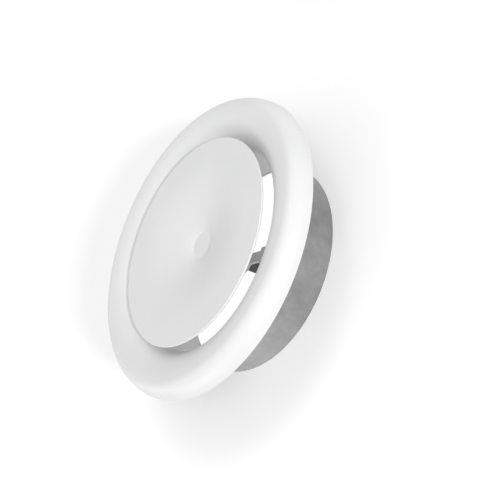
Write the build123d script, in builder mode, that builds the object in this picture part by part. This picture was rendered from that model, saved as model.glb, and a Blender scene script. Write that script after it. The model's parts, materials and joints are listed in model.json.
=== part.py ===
from build123d import *
import os
from math import cos, degrees, radians, sin, tan

os.makedirs("parts", exist_ok=True)

# Frame: origin in the middle of the collar's back edge, +Z along the axis to the room, bridge along Y

# Mounting collar, made to slide into a 100 mm duct
collar_r = 49.3
collar_sheet = 0.6
collar_depth = 31.0
bend_r = 3.0
screw_hole_d = 4.2
screw_count = 3

# Bayonet: lugs pressed out of the ring's throat run in L slots of the collar
lug_count = 3
lug_d = 4.0
lug_depth = 9.0
lug_inset = 0.15
lug_wall = 0.6
lug_root = 0.3
bayonet_turn = 14.0
slot_clear = 0.45

# Valve ring, one pressed sheet that fits loosely in the collar
ring_fit = 0.4
ring_sheet = 0.8
rim_overhang = 20.7
rim_nose_w = 6.3
rim_lift = 0.6
rim_h = 8.8
lip_h = 13.0
throat_len = 23.8

# Foam gasket in the hollow back of the rim, round the collar's flange
gasket_inset = 2.2
gasket_w = 5.5
flange_gap = 2.5

# Disc, dished to a small flat floor
disc_lap = 1.1
disc_set = 0.6
disc_sheet = 1.0
dish_r = 38.0
dish_mid_r = 12.5
dish_mid_drop = 4.5
dish_mid_slope = 0.24
floor_r = 6.2
floor_drop = 6.6
floor_slope = 0.45

# Bridge, a strip with a round hub and a waist, bent into a flat U, and its rivets
bridge_w = 8.0
bridge_t = 1.5
bridge_depth = 16.7
bridge_hole_d = 6.5
hub_r = 6.1
waist_inset = 1.6
waist_end = 13.2
waist_round = 0.48
leg_inset = 0.4
leg_bend_r = 1.6
leg_trim = 0.1
rivet_d = 3.2
rivet_fit = 0.01
rivet_head_d = 5.0
rivet_head_h = 1.2
rivet_head_taper = 28.0
rivet_inset = 3.0
rivet_step = 6.0

# Spindle and nuts
spindle_d = 6.0
spindle_len = 31.5
spindle_tip = 0.4
head_d = 12.0
head_t = 1.2
head_edge = 0.2
head_gap = 0.02
run_clear = 0.05
nut_af = 10.0
nut_chamfer = 30.0
nut_face_inset = 0.1
bridge_nut_h = 5.0
lock_nut_h = 3.2

# How far a cutting tool runs past what it cuts
past = 1.0

# Radii, from the collar outwards and inwards
collar_in = collar_r - collar_sheet
ring_back_r = collar_in - ring_fit
throat_r = ring_back_r - ring_sheet
rim_r = collar_r + rim_overhang
crown_r = rim_r - rim_nose_w
gasket_in_r = crown_r - gasket_inset
flange_r = gasket_in_r - flange_gap
bend_c = collar_in + bend_r
screw_circle_r = (bend_c + flange_r) / 2
lug_tip_r = collar_r - lug_inset
lug_root_r = throat_r + lug_root
disc_r = throat_r + disc_lap
leg_face_r = throat_r - bridge_t

# Heights, from the collar's back edge
wall_z = collar_depth - collar_sheet
bend_z = collar_depth - bend_r
lug_z = collar_depth - lug_depth
rim_edge_z = wall_z + rim_lift
crown_z = rim_edge_z + rim_h
throat_top_z = crown_z - lip_h
throat_end_z = throat_top_z - throat_len
disc_z = crown_z - disc_set
bridge_top_z = throat_top_z - leg_inset
bridge_front_z = bridge_top_z - bridge_depth
bridge_back_z = bridge_front_z - bridge_t
rivet_zs = (bridge_top_z - rivet_inset - rivet_step, bridge_top_z - rivet_inset)
lock_z = bridge_front_z + bridge_nut_h
floor_z = disc_z - floor_drop
head_top = floor_z - disc_sheet - head_gap
spindle_end_z = head_top - spindle_len

# Bayonet slot
slot_half = lug_d / 2 + slot_clear
slot_slack = degrees(slot_half / collar_r)
slot_low = lug_z - slot_half
slot_cut = 2 * (ring_fit + collar_sheet + past / 2)
lug_step = 360 / lug_count


# Collar: plain tube with a rolled flange, L slots for the bayonet and screw holes between them
with BuildPart() as collar:
    with BuildSketch(Plane.XZ):
        with BuildLine():
            Polyline((bend_c, collar_depth), (flange_r, collar_depth), (flange_r, wall_z), (bend_c, wall_z))
            CenterArc((bend_c, bend_z), bend_r - collar_sheet, 90, 90)
            Polyline((collar_r, bend_z), (collar_r, 0), (collar_in, 0), (collar_in, bend_z))
            CenterArc((bend_c, bend_z), bend_r, 90, 90)
        make_face()
    revolve(axis=Axis.Z)
    with Locations((0, 0, wall_z)):
        with PolarLocations(screw_circle_r, screw_count, start_angle=(lug_step + bayonet_turn) / 2):
            Cylinder(screw_hole_d / 2, 2 * (collar_sheet + past), mode=Mode.SUBTRACT)
    for lug in range(lug_count):
        start = radians(lug * lug_step - slot_slack)
        with BuildSketch(Plane((0, 0, 0), (cos(start), sin(start), 0), (sin(start), -cos(start), 0))):
            with Locations((collar_r, lug_z)):
                Rectangle(slot_cut, 2 * slot_half)
        revolve(axis=Axis.Z, revolution_arc=bayonet_turn + 2 * slot_slack, mode=Mode.SUBTRACT)
    with PolarLocations(0, lug_count, start_angle=bayonet_turn):
        with Locations((collar_r, 0, (slot_low + collar_depth + past) / 2)):
            Box(slot_cut, 2 * slot_half, collar_depth + past - slot_low, mode=Mode.SUBTRACT)
collar.part.label = "mounting_collar"
export_step(collar.part, "parts/mounting_collar.step")

# Ring: rim rolled over the crown and down into the throat, with hollow lugs pressed outwards
with BuildPart() as ring:
    with BuildSketch(Plane.XZ):
        with BuildLine():
            EllipticalCenterArc((crown_r, rim_edge_z), rim_nose_w, rim_h, start_angle=0, arc_size=90)
            EllipticalCenterArc((crown_r, throat_top_z), crown_r - throat_r, lip_h,
                                start_angle=90, arc_size=90)
            Polyline((throat_r, throat_top_z), (throat_r, throat_end_z), (ring_back_r, throat_end_z),
                     (ring_back_r, throat_top_z))
            EllipticalCenterArc((crown_r, throat_top_z), crown_r - ring_back_r, lip_h - ring_sheet,
                                start_angle=90, arc_size=90)
            EllipticalCenterArc((crown_r, rim_edge_z), rim_nose_w - ring_sheet, rim_h - ring_sheet,
                                start_angle=0, arc_size=90)
            Line((rim_r - ring_sheet, rim_edge_z), (rim_r, rim_edge_z))
        make_face()
    revolve(axis=Axis.Z)
    with PolarLocations(0, lug_count):
        with Locations(Location(((lug_root_r + lug_tip_r) / 2, 0, lug_z), (0, 90, 0))):
            Cylinder(lug_d / 2, lug_tip_r - lug_root_r)
    with PolarLocations(0, lug_count):
        with Locations(Location((lug_tip_r - lug_wall, 0, lug_z), (0, 90, 0))):
            Cylinder(lug_d / 2 - ring_sheet, lug_tip_r - lug_wall - throat_r + past,
                     align=(Align.CENTER, Align.CENTER, Align.MAX), mode=Mode.SUBTRACT)
    with PolarLocations(0, 2, start_angle=90):
        with Locations(*[Location((throat_r, 0, z), (0, 90, 0)) for z in rivet_zs]):
            Cylinder(rivet_d / 2 + rivet_fit, 2 * (ring_sheet + past), mode=Mode.SUBTRACT)
ring.part.label = "valve_ring"
export_step(ring.part, "parts/valve_ring.step")

# Gasket: the rim's hollow back, filled over the gasket's width down to the wall
with BuildPart() as gasket:
    with BuildSketch(Plane.XZ):
        with BuildLine():
            EllipticalCenterArc((crown_r, throat_top_z), crown_r - ring_back_r, lip_h - ring_sheet,
                                start_angle=90, arc_size=90)
            EllipticalCenterArc((crown_r, rim_edge_z), rim_nose_w - ring_sheet, rim_h - ring_sheet,
                                start_angle=0, arc_size=90)
            Polyline((rim_r - ring_sheet, rim_edge_z), (rim_r - ring_sheet, throat_top_z),
                     (ring_back_r, throat_top_z))
        make_face()
        with Locations((gasket_in_r, wall_z)):
            Rectangle(gasket_w, crown_z - wall_z, align=(Align.MIN, Align.MIN), mode=Mode.INTERSECT)
    revolve(axis=Axis.Z)
gasket.part.label = "rim_gasket"
export_step(gasket.part, "parts/rim_gasket.step")

# Disc: pressed sheet with a rounded edge, flat outside and dished in the middle
with BuildPart() as disc:
    with BuildSketch(Plane.XZ):
        with BuildLine():
            edge = disc_sheet / 2
            back = disc_z - disc_sheet
            dish_slopes = [(1, floor_slope), (1, dish_mid_slope), (1, 0)]
            Line((0, floor_z), (floor_r, floor_z))
            Spline((floor_r, floor_z), (dish_mid_r, disc_z - dish_mid_drop), (dish_r, disc_z),
                   tangents=dish_slopes)
            Line((dish_r, disc_z), (disc_r - edge, disc_z))
            CenterArc((disc_r - edge, disc_z - edge), edge, -90, 180)
            Line((disc_r - edge, back), (dish_r, back))
            Spline((floor_r, floor_z - disc_sheet), (dish_mid_r, back - dish_mid_drop), (dish_r, back),
                   tangents=dish_slopes)
            Polyline((floor_r, floor_z - disc_sheet), (0, floor_z - disc_sheet), (0, floor_z))
        make_face()
    revolve(axis=Axis.Z)
disc.part.label = "valve_disc"
export_step(disc.part, "parts/valve_disc.step")

# Bridge: flat U across the throat, cut to its plan, legs trimmed to the throat's curve
with BuildPart() as bridge:
    with BuildSketch(Plane.YZ):
        with BuildLine():
            out = throat_r + leg_trim
            big = leg_bend_r + bridge_t
            Polyline((leg_face_r, bridge_front_z + leg_bend_r), (leg_face_r, bridge_top_z),
                     (out, bridge_top_z), (out, bridge_back_z + big))
            CenterArc((out - big, bridge_back_z + big), big, -90, 90)
            Line((out - big, bridge_back_z), (0, bridge_back_z))
            Line((0, bridge_back_z), (0, bridge_front_z))
            Line((0, bridge_front_z), (leg_face_r - leg_bend_r, bridge_front_z))
            CenterArc((leg_face_r - leg_bend_r, bridge_front_z + leg_bend_r), leg_bend_r, -90, 90)
        make_face()
        mirror(about=Plane.YZ)
    extrude(amount=hub_r, both=True)
    with BuildSketch(Plane.XY.offset(bridge_back_z)) as plan:
        Rectangle(bridge_w - 2 * waist_inset, 2 * out)
        Circle(hub_r)
        with PolarLocations(0, 2, start_angle=90):
            with Locations((waist_end, 0)):
                Rectangle(out - waist_end, bridge_w, align=(Align.MIN, Align.CENTER))
        fillet([corner for corner in plan.vertices() if abs(corner.Y) < leg_face_r],
               waist_inset * waist_round)
        Circle(throat_r, mode=Mode.INTERSECT)
    extrude(amount=bridge_top_z - bridge_back_z, mode=Mode.INTERSECT)
    with Locations((0, 0, bridge_front_z)):
        Cylinder(bridge_hole_d / 2, 2 * (bridge_t + past), mode=Mode.SUBTRACT)
    with PolarLocations(0, 2, start_angle=90):
        with Locations(*[Location((throat_r, 0, z), (0, 90, 0)) for z in rivet_zs]):
            Cylinder(rivet_d / 2 + rivet_fit, 2 * (bridge_t + past), mode=Mode.SUBTRACT)
bridge.part.label = "bridge"
export_step(bridge.part, "parts/bridge.step")

# Rivets: flush outside the throat, low heads inside on the bridge legs
with BuildPart() as rivets:
    for side in (90, 270):
        for z in rivet_zs:
            leg_face = Location((0, 0, 0), (0, 0, side)) * Location((leg_face_r, 0, z), (0, 90, 0))
            with BuildSketch(Plane(leg_face)):
                Circle(rivet_d / 2)
            extrude(amount=ring_back_r - leg_face_r)
            with BuildSketch(Plane(leg_face)):
                Circle(rivet_head_d / 2)
            extrude(amount=-rivet_head_h, taper=rivet_head_taper)
rivets.part.label = "bridge_rivets"
export_step(rivets.part, "parts/bridge_rivets.step")

# Nuts: chamfered hexagons, one welded on the bridge and one run down on it to lock the setting
nuts = (("bridge_nut", bridge_front_z, bridge_nut_h, 90), ("lock_nut", lock_z, lock_nut_h, 0))
for node, low_z, height, flat_angle in nuts:
    with BuildPart() as nut:
        with BuildSketch(Plane.XY.offset(low_z)):
            RegularPolygon(nut_af / 2, 6, major_radius=False, rotation=flat_angle)
        extrude(amount=height)
        with BuildSketch(Plane.XZ):
            with BuildLine():
                high_z = low_z + height
                face_r = nut_af / 2 - nut_face_inset
                turn_r = nut_af / 2 / cos(radians(30)) + nut_face_inset
                drop = (turn_r - face_r) * tan(radians(nut_chamfer))
                Polyline((0, low_z), (face_r, low_z), (turn_r, low_z + drop), (turn_r, high_z - drop),
                         (face_r, high_z), (0, high_z), close=True)
            make_face()
        revolve(axis=Axis.Z, mode=Mode.INTERSECT)
        with Locations((0, 0, low_z)):
            Cylinder(spindle_d / 2 + run_clear, 2 * (height + past), mode=Mode.SUBTRACT)
    nut.part.label = node
    export_step(nut.part, f"parts/{node}.step")

# Spindle: rod with a chamfered end and a welding flange behind the disc's floor
with BuildPart() as spindle:
    with BuildSketch(Plane.XZ):
        with BuildLine():
            rod_r = spindle_d / 2
            rim = head_d / 2
            head_z = head_top - head_t
            Polyline((0, spindle_end_z), (rod_r - spindle_tip, spindle_end_z),
                     (rod_r, spindle_end_z + spindle_tip), (rod_r, head_z), (rim - head_edge, head_z),
                     (rim, head_z + head_edge), (rim, head_top), (0, head_top), close=True)
        make_face()
    revolve(axis=Axis.Z)
spindle.part.label = "spindle"
export_step(spindle.part, "parts/spindle.step")
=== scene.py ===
import json
from math import cos, pi, radians, sin

import bmesh
import bpy
from mathutils import Matrix, Vector, noise


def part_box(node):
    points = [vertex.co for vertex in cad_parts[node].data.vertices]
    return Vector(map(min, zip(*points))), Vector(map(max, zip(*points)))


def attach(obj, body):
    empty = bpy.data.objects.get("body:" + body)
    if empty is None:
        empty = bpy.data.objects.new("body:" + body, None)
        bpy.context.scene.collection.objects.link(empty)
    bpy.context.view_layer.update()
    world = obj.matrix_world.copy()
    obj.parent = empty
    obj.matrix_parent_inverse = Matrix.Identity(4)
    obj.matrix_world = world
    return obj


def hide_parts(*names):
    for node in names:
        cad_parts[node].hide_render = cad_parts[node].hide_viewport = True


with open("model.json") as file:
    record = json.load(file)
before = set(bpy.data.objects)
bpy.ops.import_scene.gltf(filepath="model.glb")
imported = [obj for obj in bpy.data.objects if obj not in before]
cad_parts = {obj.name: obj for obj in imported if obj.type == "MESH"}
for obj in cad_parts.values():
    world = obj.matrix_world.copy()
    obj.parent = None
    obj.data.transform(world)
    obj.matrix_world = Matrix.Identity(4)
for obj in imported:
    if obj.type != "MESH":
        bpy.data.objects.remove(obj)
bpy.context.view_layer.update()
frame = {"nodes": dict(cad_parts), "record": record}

# Places and sizes taken from the frame, in metres
MM = 0.001
mounts = {mount["name"]: mount for mount in frame["record"]["mounts"]}
COLLAR_R = mounts["duct_spigot"]["dims"]["r_mm"] * MM
DISC_TOP_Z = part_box("valve_disc")[1][2]
spindle_low, spindle_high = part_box("spindle")
gasket_low, gasket_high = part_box("rim_gasket")

# The photograph's view: angles in degrees, image places in pixels of its 500 by 500 frame
IMAGE_SIZE = 500
NEAR_ANGLE = -113.5
AXIS_OFF_VIEW = 59.8
CAMERA_ROLL = 67.8
CAMERA_DISTANCE = 0.412
FOCAL_PIXELS = 936.0
DISC_CENTRE_PIXEL = (190.0, 239.85)
SENSOR_MM = 36.0
CLIP_START = 0.01

# Spindle: M6 thread with a pitch of 1 mm, and the welding flange on its end
SPINDLE_R = 3.0 * MM
SPINDLE_TIP = 0.4 * MM
THREAD_PITCH = 1.0 * MM
THREAD_DEPTH = 0.6 * MM
THREAD_FLAT = 0.16
THREAD_STEPS = 12
THREAD_SIDES = 40
RUN_OUT = 1.5 * MM
HEAD_T = 1.2 * MM
HEAD_EDGE = 0.2 * MM
SPINDLE_END_Z = spindle_low[2]
SPINDLE_TOP_Z = spindle_high[2]
HEAD_Z = SPINDLE_TOP_Z - HEAD_T
HEAD_R = spindle_high[0]

# Gasket: foam with soft edges, a little uneven, its top tucked under the rim's sheet
GASKET_W = 5.5 * MM
GASKET_R = gasket_high[0]
GASKET_BACK_Z = gasket_low[2]
GASKET_TOP_Z = gasket_high[2]
FOAM_ROUND = 0.9 * MM
FOAM_ARC_STEPS = 5
FOAM_SIDES = 240
FOAM_TUCK_IN = 0.3 * MM
FOAM_TUCK_OUT = 1.8 * MM
FOAM_WAVE = 0.12 * MM
FOAM_WAVES_PER_M = 160.0

# Edges of the modelled pieces that bend more than this many degrees stay sharp
SHARP_ANGLE = 40.0

# In the finishes below, colours and roughness are pairs of a low and a high value, a noise has its
# scale in cycles for each metre, its detail and sometimes its roughness, and a bump has its strength
# and distance

# Powder coat
COAT_COLOURS = ((0.83, 0.832, 0.834), (0.86, 0.86, 0.858))
COAT_CLOUDS = (35.0, 3.0)
COAT_ROUGHNESS = (0.36, 0.44)
COAT_SHEEN = (120.0, 2.0)
COAT_PEEL = (1400.0, 2.0)
COAT_BUMP = (0.12, 0.04 * MM)

# Galvanised sheet: its colour follows the sum of clouds, spangle and painted reflection bands over a
# range
GALV_COLOURS = ((0.19, 0.19, 0.19), (0.68, 0.68, 0.68))
GALV_RANGE = (1.94, 4.44)
GALV_CLOUDS = (140.0, 6.0, 0.65)
GALV_ROUGHNESS = (0.42, 0.6)
GALV_METALLIC = 0.75
GALV_GRAIN = (500.0, 4.0)
GALV_BUMP = (0.1, 0.05 * MM)
SPANGLES_PER_M = 520.0
SPANGLE_WEIGHT = 0.22
# Painted reflection: broad soft bands of lighter and darker colour that run along the collar's axis
REFLECTION_BANDS = (15.0, 1.0)
REFLECTION_BAND_WEIGHT = 4.6
REFLECTION_BAND_AXIAL = 0.1
REFLECTION_BAND_SEED = 50.0

# Zinc plate on the spindle and the lock nut
PLATE_COLOURS = ((0.17, 0.17, 0.166), (0.26, 0.26, 0.252))
PLATE_GRAIN = (400.0, 4.0)
PLATE_ROUGHNESS = (0.3, 0.45)
PLATE_SHEEN = (900.0, 2.0)
PLATE_METALLIC = 0.9
PLATE_MARKS = (1800.0, 2.0)
PLATE_BUMP = (0.1, 0.03 * MM)

# Closed-cell foam
FOAM_COLOURS = ((0.62, 0.62, 0.6), (0.78, 0.78, 0.76))
FOAM_PORES = (1600.0, 3.0)
FOAM_ROUGHNESS = 0.9
FOAM_BUMP = (0.5, 0.3 * MM)

# Stage and light: the floor's brightness for light that bounces and for the eye, its lift near the
# object and far off, and the distances between which that lift grows
FLOOR_R = 3.0
FLOOR_SIDES = 96
FLOOR_BOUNCE = 0.8
FLOOR_SEEN = 1.0
FLOOR_LIFT = 0.19
FLOOR_FAR_LIFT = 0.55
FLOOR_FADE = (0.2, 1.0)
WORLD_LIGHT = 0.485
WORLD_SEEN = 1.0
WHITE_LIGHT = (1.0, 1.0, 1.0, 1.0)
LAMP_DISTANCE = 3.0

# Lamps: turn from the near side and height in degrees, width in metres, power in watts
LAMPS = {
    "key": (0.0, 46.0, 1.6, 16.0),
    "low_front": (4.0, 18.0, 0.24, 33.0),
    "upper_side": (85.0, 58.0, 1.2, 11.0),
    "lower_side": (-88.0, 6.0, 1.0, 17.0),
    "lower_back": (-130.0, 10.0, 1.2, 8.0),
}

UP = Vector((0.0, 0.0, 1.0))


def unit(angle_deg):
    """Horizontal unit vector at an angle from +X."""
    return Vector((cos(radians(angle_deg)), sin(radians(angle_deg)), 0.0))


NEAR = unit(NEAR_ANGLE)
SIDE = unit(NEAR_ANGLE + 90.0)


# Shader helpers


def new_material(name):
    """A node material with its node tree and its Principled shader."""
    material = bpy.data.materials.new(name)
    material.use_nodes = True
    tree = material.node_tree
    return material, tree, tree.nodes["Principled BSDF"]


def object_place(tree):
    """Object coordinates, in metres."""
    return tree.nodes.new("ShaderNodeTexCoord").outputs["Object"]


def object_noise(tree, scale, detail, roughness=0.5):
    """Noise in object coordinates, so that its scale is in cycles for each metre."""
    texture = tree.nodes.new("ShaderNodeTexNoise")
    texture.inputs["Scale"].default_value = scale
    texture.inputs["Detail"].default_value = detail
    texture.inputs["Roughness"].default_value = roughness
    tree.links.new(object_place(tree), texture.inputs["Vector"])
    return texture.outputs["Fac"]


def ramp(tree, source, low, high, start=0.3, end=0.7):
    """Two-colour ramp of a grey value."""
    node = tree.nodes.new("ShaderNodeValToRGB")
    node.color_ramp.elements[0].position = start
    node.color_ramp.elements[0].color = (*low, 1.0)
    node.color_ramp.elements[1].position = end
    node.color_ramp.elements[1].color = (*high, 1.0)
    tree.links.new(source, node.inputs["Fac"])
    return node.outputs["Color"]


def remap(tree, source, low, high, start=0.0, end=1.0):
    """Value between low and high from a value between start and end."""
    node = tree.nodes.new("ShaderNodeMapRange")
    node.inputs["From Min"].default_value = start
    node.inputs["From Max"].default_value = end
    node.inputs["To Min"].default_value = low
    node.inputs["To Max"].default_value = high
    tree.links.new(source, node.inputs["Value"])
    return node.outputs["Result"]


def combine(tree, operation, first, second):
    """Two values joined by a math operation."""
    node = tree.nodes.new("ShaderNodeMath")
    node.operation = operation
    tree.links.new(first, node.inputs[0])
    tree.links.new(second, node.inputs[1])
    return node.outputs["Value"]


def weighted_sum(tree, first, weight, second):
    """First value times a weight, plus the second value."""
    node = tree.nodes.new("ShaderNodeMath")
    node.operation = "MULTIPLY_ADD"
    node.inputs[1].default_value = weight
    tree.links.new(first, node.inputs[0])
    tree.links.new(second, node.inputs[2])
    return node.outputs["Value"]


def bump(tree, shader, height, strength, distance):
    """Bump from a height value."""
    node = tree.nodes.new("ShaderNodeBump")
    node.inputs["Strength"].default_value = strength
    node.inputs["Distance"].default_value = distance
    tree.links.new(height, node.inputs["Height"])
    tree.links.new(node.outputs["Normal"], shader.inputs["Normal"])


def seen_directly(tree):
    """1 for camera, glossy and transmission rays, 0 for the rays that light the object."""
    path = tree.nodes.new("ShaderNodeLightPath")
    total = path.outputs["Is Camera Ray"]
    for kind in ("Is Glossy Ray", "Is Transmission Ray"):
        total = combine(tree, "MAXIMUM", total, path.outputs[kind])
    return total


# Materials


def powder_coat():
    """White powder coat: even colour, satin sheen and a fine orange-peel surface."""
    material, tree, shader = new_material("white_powder_coat")
    colour = ramp(tree, object_noise(tree, *COAT_CLOUDS), *COAT_COLOURS)
    tree.links.new(colour, shader.inputs["Base Color"])
    roughness = remap(tree, object_noise(tree, *COAT_SHEEN), *COAT_ROUGHNESS)
    tree.links.new(roughness, shader.inputs["Roughness"])
    bump(tree, shader, object_noise(tree, *COAT_PEEL), *COAT_BUMP)
    return material


def painted_reflection_bands(tree):
    """Painted reflection: broad soft bands of lighter and darker colour that run along the collar's
    axis.
    """
    flat = tree.nodes.new("ShaderNodeVectorMath")
    flat.operation = "MULTIPLY"
    flat.inputs[1].default_value = (1.0, 1.0, REFLECTION_BAND_AXIAL)
    tree.links.new(object_place(tree), flat.inputs[0])
    scale, detail = REFLECTION_BANDS
    texture = tree.nodes.new("ShaderNodeTexNoise")
    texture.noise_dimensions = "4D"
    texture.inputs["Scale"].default_value = scale
    texture.inputs["Detail"].default_value = detail
    texture.inputs["W"].default_value = REFLECTION_BAND_SEED
    tree.links.new(flat.outputs["Vector"], texture.inputs["Vector"])
    return texture.outputs["Fac"]


def galvanised():
    """Galvanised sheet: dull metal with spangle, cloudy patches and broad bands of painted
    reflection.
    """
    material, tree, shader = new_material("galvanised_sheet")
    cells = tree.nodes.new("ShaderNodeTexVoronoi")
    cells.inputs["Scale"].default_value = SPANGLES_PER_M
    tree.links.new(object_place(tree), cells.inputs["Vector"])
    grey = tree.nodes.new("ShaderNodeRGBToBW")
    tree.links.new(cells.outputs["Color"], grey.inputs["Color"])
    spangle = grey.outputs["Val"]
    mottle = weighted_sum(tree, spangle, SPANGLE_WEIGHT, object_noise(tree, *GALV_CLOUDS))
    # The broad bands added here are painted reflection, lighter and darker strips put into the
    # colour
    tone_and_painted_reflection = weighted_sum(tree, painted_reflection_bands(tree), REFLECTION_BAND_WEIGHT, mottle)
    share = remap(tree, tone_and_painted_reflection, 0.0, 1.0, *GALV_RANGE)
    colour = ramp(tree, share, *GALV_COLOURS, start=0.0, end=1.0)
    tree.links.new(colour, shader.inputs["Base Color"])
    tree.links.new(remap(tree, spangle, *GALV_ROUGHNESS), shader.inputs["Roughness"])
    shader.inputs["Metallic"].default_value = GALV_METALLIC
    bump(tree, shader, object_noise(tree, *GALV_GRAIN), *GALV_BUMP)
    return material


def zinc_plate():
    """Zinc-plated fastener steel, a darker bright metal with fine turning marks."""
    material, tree, shader = new_material("zinc_plate")
    colour = ramp(tree, object_noise(tree, *PLATE_GRAIN), *PLATE_COLOURS)
    tree.links.new(colour, shader.inputs["Base Color"])
    roughness = remap(tree, object_noise(tree, *PLATE_SHEEN), *PLATE_ROUGHNESS)
    tree.links.new(roughness, shader.inputs["Roughness"])
    shader.inputs["Metallic"].default_value = PLATE_METALLIC
    bump(tree, shader, object_noise(tree, *PLATE_MARKS), *PLATE_BUMP)
    return material


def closed_cell_foam():
    """Matt closed-cell foam with fine pores."""
    material, tree, shader = new_material("gasket_foam")
    pores = object_noise(tree, *FOAM_PORES)
    tree.links.new(ramp(tree, pores, *FOAM_COLOURS), shader.inputs["Base Color"])
    shader.inputs["Roughness"].default_value = FOAM_ROUGHNESS
    bump(tree, shader, pores, *FOAM_BUMP)
    return material


def pale_floor():
    """Pale matt floor that looks white to the eye and still takes the object's shadow."""
    material, tree, shader = new_material("pale_floor")
    grey = remap(tree, seen_directly(tree), FLOOR_BOUNCE, FLOOR_SEEN)
    tree.links.new(grey, shader.inputs["Base Color"])
    shader.inputs["Roughness"].default_value = 1.0
    shader.inputs["Specular IOR Level"].default_value = 0.0
    shader.inputs["Emission Color"].default_value = WHITE_LIGHT
    away = tree.nodes.new("ShaderNodeVectorMath")
    away.operation = "LENGTH"
    tree.links.new(object_place(tree), away.inputs[0])
    lift = remap(tree, away.outputs["Value"], FLOOR_LIFT, FLOOR_FAR_LIFT, *FLOOR_FADE)
    lift_seen = combine(tree, "MULTIPLY", lift, seen_directly(tree))
    tree.links.new(lift_seen, shader.inputs["Emission Strength"])
    return material


# Pieces


def skin(name, rings, ends, material):
    """Mesh piece over closed rings of points that form a loop, end in caps or stay open."""
    shape = bmesh.new()
    made = [[shape.verts.new(point) for point in ring] for ring in rings]
    pairs = list(zip(made, made[1:]))
    if ends == "loop":
        pairs.append((made[-1], made[0]))
    if ends == "caps":
        shape.faces.new(made[0])
        shape.faces.new(made[-1])
    for low, high in pairs:
        for i in range(len(low)):
            j = (i + 1) % len(low)
            shape.faces.new((low[i], low[j], high[j], high[i]))
    bmesh.ops.recalc_face_normals(shape, faces=shape.faces)
    for face in shape.faces:
        face.smooth = True
    mesh = bpy.data.meshes.new(name)
    shape.to_mesh(mesh)
    shape.free()
    mesh.set_sharp_from_angle(angle=radians(SHARP_ANGLE))
    mesh.materials.append(material)
    piece = bpy.data.objects.new(name, mesh)
    bpy.context.scene.collection.objects.link(piece)
    return piece


def around(sides):
    """Angles of so many even steps round a circle, in degrees."""
    return [360.0 * i / sides for i in range(sides)]


def thread_radius(angle_deg, z):
    """Radius of a right-hand thread with flat crests and roots that runs out under the flange."""
    turn = (z / THREAD_PITCH - angle_deg / 360.0) % 1.0
    flank = (abs(2.0 * turn - 1.0) - THREAD_FLAT) / (1.0 - 2.0 * THREAD_FLAT)
    depth = THREAD_DEPTH * min(1.0, (HEAD_Z - z) / RUN_OUT)
    return SPINDLE_R - depth * min(1.0, max(0.0, flank))


def threaded_spindle(material):
    """The spindle with its thread cut, from the chamfered end up to the welding flange."""
    rod_len = HEAD_Z - SPINDLE_END_Z
    steps = round(rod_len / THREAD_PITCH * THREAD_STEPS)
    angles = around(THREAD_SIDES)
    rings = []
    for step in range(steps + 1):
        up = rod_len * step / steps
        z = SPINDLE_END_Z + up
        chamfer_r = SPINDLE_R - SPINDLE_TIP + up
        rings.append([unit(a) * min(chamfer_r, thread_radius(a, z)) + UP * z for a in angles])
    flange = (
        (HEAD_Z, HEAD_R - HEAD_EDGE),
        (HEAD_Z + HEAD_EDGE, HEAD_R),
        (SPINDLE_TOP_Z, HEAD_R),
    )
    for z, r in flange:
        rings.append([unit(a) * r + UP * z for a in angles])
    piece = skin("spindle_threaded", rings, "caps", material)
    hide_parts("spindle")
    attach(piece, "spindle")


def gasket_section():
    """Radius and height of each point round the gasket's section."""
    inner_r = GASKET_R - GASKET_W
    points = [(inner_r, GASKET_TOP_Z - FOAM_TUCK_IN)]
    for corner_r, start in ((inner_r + FOAM_ROUND, pi), (GASKET_R - FOAM_ROUND, 1.5 * pi)):
        for step in range(FOAM_ARC_STEPS + 1):
            angle = start + pi / 2 * step / FOAM_ARC_STEPS
            z = GASKET_BACK_Z + FOAM_ROUND * (1 + sin(angle))
            points.append((corner_r + FOAM_ROUND * cos(angle), z))
    points.append((GASKET_R, GASKET_TOP_Z - FOAM_TUCK_OUT))
    return points


def foam_gasket(material):
    """The gasket as cut foam: soft edges and a slightly uneven face, inside its solid."""
    section = gasket_section()
    rings = []
    for angle in around(FOAM_SIDES):
        ring = []
        for r, z in section:
            point = unit(angle) * r + UP * z
            dent = FOAM_WAVE * (0.5 + 0.5 * noise.noise(point * FOAM_WAVES_PER_M))
            ring.append(point + UP * max(dent, 0.0))
        rings.append(ring)
    piece = skin("gasket_foam_ring", rings, "loop", material)
    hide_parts("rim_gasket")
    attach(piece, "valve")


# Stage, light and camera


def make_floor():
    """Flat floor, open under the collar as the end of a duct is."""
    angles = around(FLOOR_SIDES)
    rings = [[unit(angle) * r for angle in angles] for r in (COLLAR_R, FLOOR_R)]
    skin("floor", rings, "open", pale_floor())


def make_world():
    """White to the eye, a plain level of even light on the object."""
    world = bpy.data.worlds.new("studio")
    bpy.context.scene.world = world
    world.use_nodes = True
    tree = world.node_tree
    back = tree.nodes["Background"]
    back.inputs["Color"].default_value = WHITE_LIGHT
    strength = remap(tree, seen_directly(tree), WORLD_LIGHT, WORLD_SEEN)
    tree.links.new(strength, back.inputs["Strength"])


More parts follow.
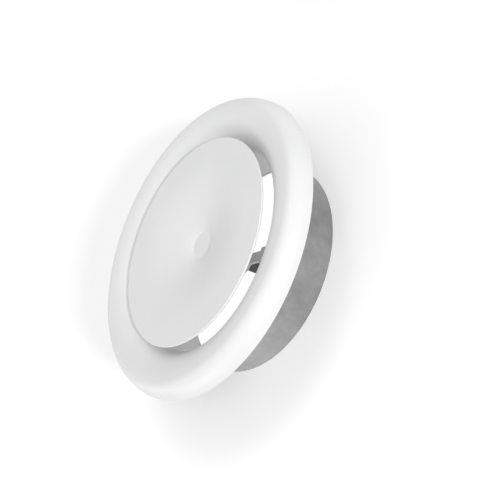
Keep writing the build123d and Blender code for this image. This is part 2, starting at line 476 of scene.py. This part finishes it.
def area_light(name, turn, height, width, power):
    """Soft square lamp that shines on the object from a turn and a height."""
    data = bpy.data.lights.new(name, "AREA")
    data.size = width
    data.energy = power
    lamp = bpy.data.objects.new(name, data)
    bpy.context.scene.collection.objects.link(lamp)
    level = unit(NEAR_ANGLE + turn)
    direction = level * cos(radians(height)) + UP * sin(radians(height))
    lamp.location = UP * DISC_TOP_Z / 2 + direction * LAMP_DISTANCE
    lamp.rotation_euler = direction.to_track_quat("Z", "Y").to_euler()


def make_camera():
    """Camera at the photograph's angle, roll and framing."""
    target = UP * DISC_TOP_Z
    back = NEAR * sin(radians(AXIS_OFF_VIEW)) + UP * cos(radians(AXIS_OFF_VIEW))
    level_up = back.cross(SIDE)
    roll = radians(CAMERA_ROLL)
    right = SIDE * cos(roll) - level_up * sin(roll)
    up = SIDE * sin(roll) + level_up * cos(roll)
    place = target + back * CAMERA_DISTANCE
    half = IMAGE_SIZE / 2
    aim = target + right * ((half - DISC_CENTRE_PIXEL[0]) / FOCAL_PIXELS * CAMERA_DISTANCE)
    aim = aim - up * ((half - DISC_CENTRE_PIXEL[1]) / FOCAL_PIXELS * CAMERA_DISTANCE)
    view_back = (place - aim).normalized()
    view_right = up.cross(view_back).normalized()
    view_up = view_back.cross(view_right)
    data = bpy.data.cameras.new("camera")
    data.sensor_width = SENSOR_MM
    data.lens = FOCAL_PIXELS * SENSOR_MM / IMAGE_SIZE
    data.clip_start = CLIP_START
    camera = bpy.data.objects.new("camera", data)
    bpy.context.scene.collection.objects.link(camera)
    turn = Matrix((view_right, view_up, view_back)).transposed().to_4x4()
    camera.matrix_world = Matrix.Translation(place) @ turn
    bpy.context.scene.camera = camera


# The CAD pieces keep their shape and get their finish, then the modelled pieces and the stage follow
WHITE = powder_coat()
ZINC = zinc_plate()
FINISHES = {
    "mounting_collar": galvanised(),
    "valve_ring": WHITE,
    "valve_disc": WHITE,
    "bridge": WHITE,
    "bridge_rivets": WHITE,
    "bridge_nut": WHITE,
    "lock_nut": ZINC,
}
for node_name, finish in FINISHES.items():
    mesh = frame["nodes"][node_name].data
    mesh.materials.clear()
    mesh.materials.append(finish)

threaded_spindle(ZINC)
foam_gasket(closed_cell_foam())
make_floor()
make_world()
make_camera()
for lamp_name, settings in LAMPS.items():
    area_light(lamp_name, *settings)

bpy.context.scene.view_settings.view_transform = "Standard"
